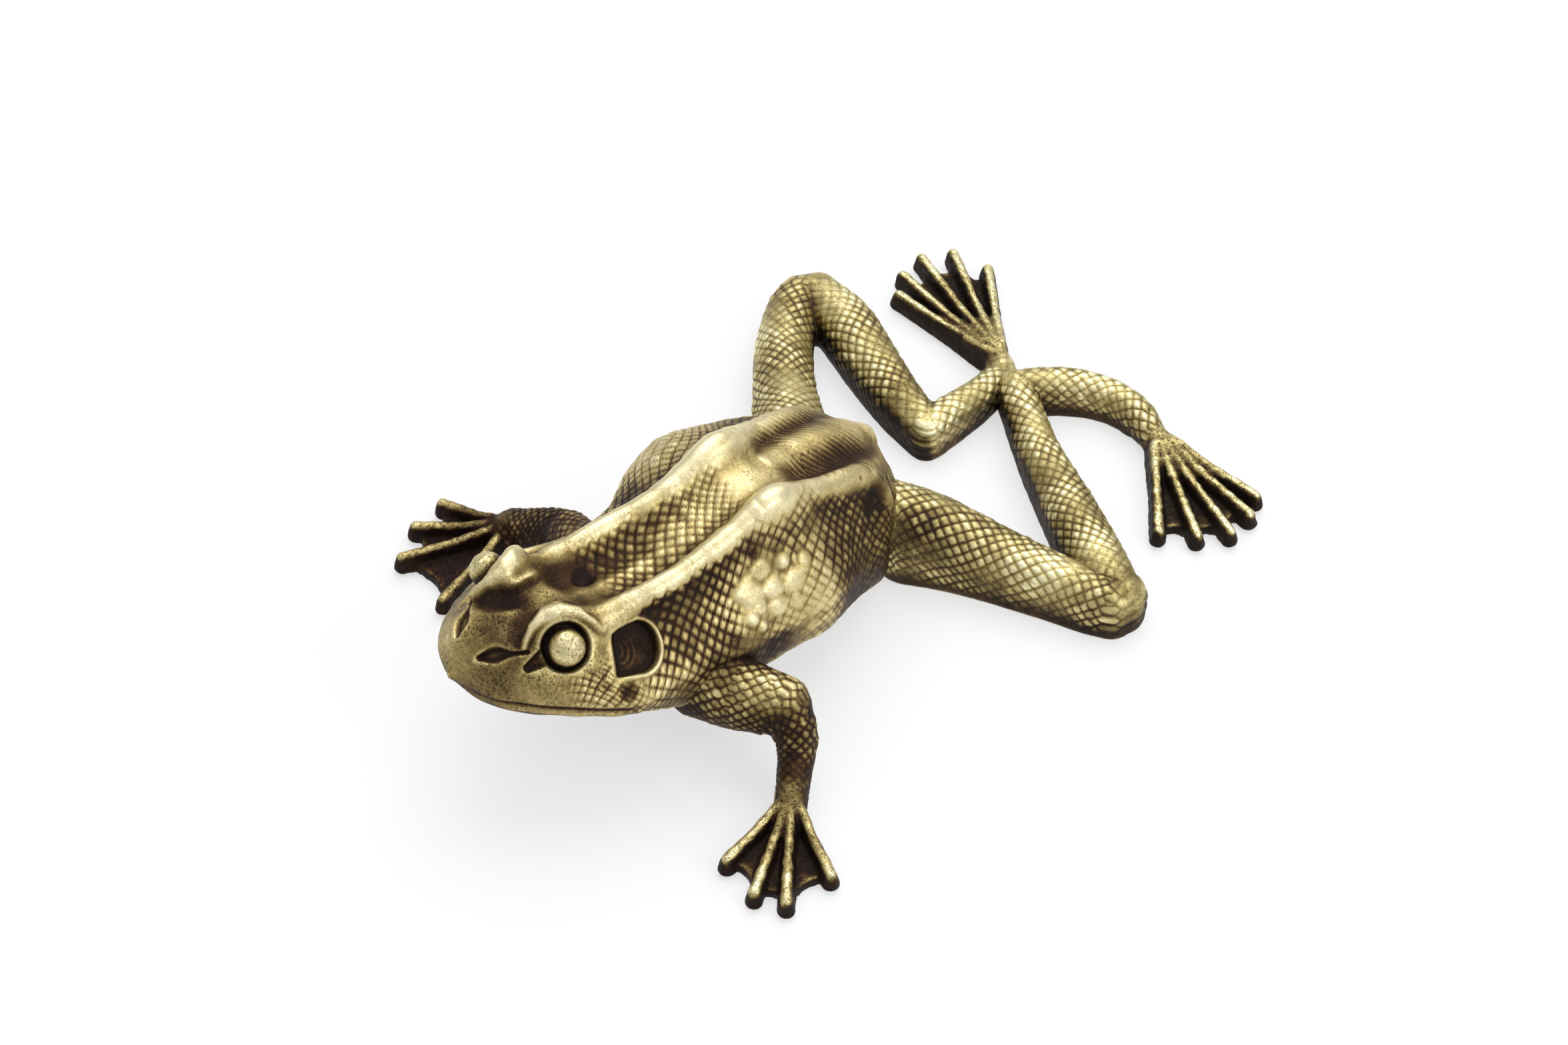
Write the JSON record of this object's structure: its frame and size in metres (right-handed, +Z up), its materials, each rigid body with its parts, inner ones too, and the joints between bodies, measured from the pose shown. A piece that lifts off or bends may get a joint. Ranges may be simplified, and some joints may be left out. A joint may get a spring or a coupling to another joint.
{
  "type": "brass frog ornament",
  "caption": "Sprawling frog ornament in cast brass: a hollow body casting with four webbed limbs and two bead eyes fixed to it.",
  "frame": {"origin": "centre of the whole frog's box, on the surface that it lies on", "axes": "-Y towards the snout, +X towards the frog's own left, +Z up"},
  "size_m": [0.0917, 0.1193, 0.0337],
  "materials": {
    "antique_brass": "cast brass with a dark brown patina rubbed back to pale gold on the high points",
    "eye_brass": "pitted pale brass beads, rubbed bright"
  },
  "bodies": {
    "root": {"body_casting": "antique_brass", "left_foreleg": "antique_brass", "right_foreleg": "antique_brass", "left_hind_leg": "antique_brass", "right_hind_leg": "antique_brass", "left_eye": "eye_brass", "right_eye": "eye_brass"}
  },
  "joints": []
}
